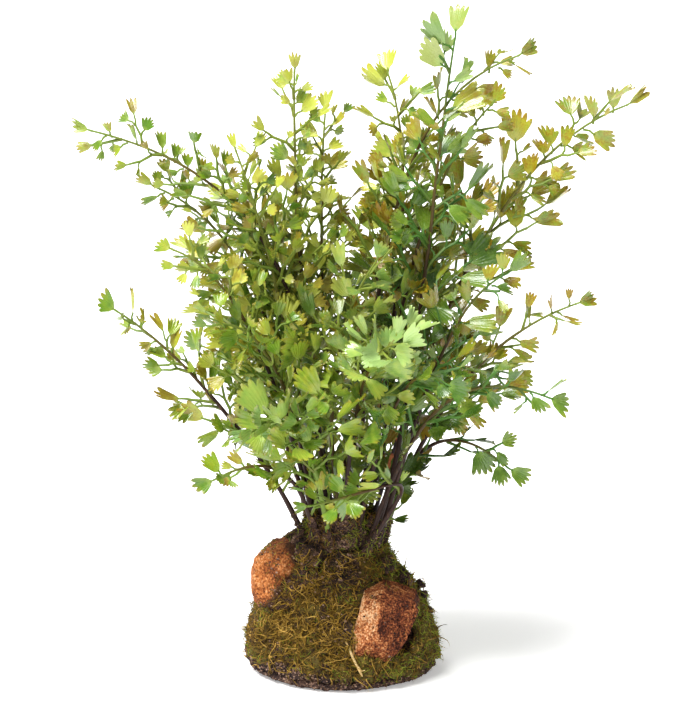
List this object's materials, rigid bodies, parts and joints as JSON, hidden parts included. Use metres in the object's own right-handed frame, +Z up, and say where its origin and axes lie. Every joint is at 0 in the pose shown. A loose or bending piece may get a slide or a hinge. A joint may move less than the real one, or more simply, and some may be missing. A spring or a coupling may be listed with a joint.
{
  "type": "maidenhair fern on a moss-covered soil ball",
  "caption": "Bushy maidenhair fern with small fan-shaped leaves on thin dark stems, standing by itself on a moss-covered ball of soil with rough orange stones.",
  "frame": {"origin": "centre of the soil ball's flat underside, where the plant stands", "axes": "+Z up through the ball's neck, -Y towards the front with the angular stone, +X to the viewer's right"},
  "size_m": [0.3432, 0.226, 0.4035],
  "materials": {
    "leaf_green": "mid green fan leaves on olive stalks, moulded, satin gloss",
    "leaf_gold": "golden olive fan leaves on dark stalks, moulded, satin gloss",
    "leaf_deep": "deep green fan leaves on dark stalks, moulded, satin gloss",
    "leaf_fresh": "yellow-green fan leaves on olive stalks, moulded, satin gloss",
    "soil": "dark crumbly soil, pressed into a ball, matt",
    "moss": "olive moss mat with loose curled strands, matt",
    "stone": "orange-brown pitted stone, rough and matt",
    "straw": "dry pale stalk, satin",
    "bark": "dark purple-brown leafless stem, satin"
  },
  "bodies": {
    "root": {"frond_far_left": "leaf_green", "frond_far_right": "leaf_gold", "frond_tallest": "leaf_deep", "frond_right_arch": "leaf_gold", "frond_tall_left": "leaf_fresh", "frond_left_upper": "leaf_fresh", "frond_left_high": "leaf_green", "frond_left_mid": "leaf_green", "frond_left_low": "leaf_green", "frond_right_mid": "leaf_gold", "frond_right_upper": "leaf_deep", "frond_right_reach": "leaf_deep", "frond_right_low": "leaf_deep", "frond_low_curl": "leaf_green", "frond_top_right": "leaf_gold", "frond_top_left": "leaf_fresh", "frond_tall_back": "leaf_fresh", "frond_top_mid": "leaf_fresh", "frond_front": "leaf_fresh", "frond_front_left": "leaf_green", "frond_front_right": "leaf_deep", "frond_left_inner": "leaf_green", "frond_crown_front": "leaf_fresh", "frond_crown_left": "leaf_green", "frond_crown_right": "leaf_gold", "frond_back_right_high": "leaf_gold", "frond_back_left_high": "leaf_green", "frond_back_high": "leaf_gold", "frond_back_mid": "leaf_green", "frond_back_right_low": "leaf_deep", "frond_back_left_low": "leaf_green", "frond_back_low": "leaf_deep", "soil_ball": "soil", "moss_blanket": "moss", "stone_left": "stone", "stone_right": "stone", "straw": "straw", "cut_stem": "bark"}
  },
  "joints": []
}
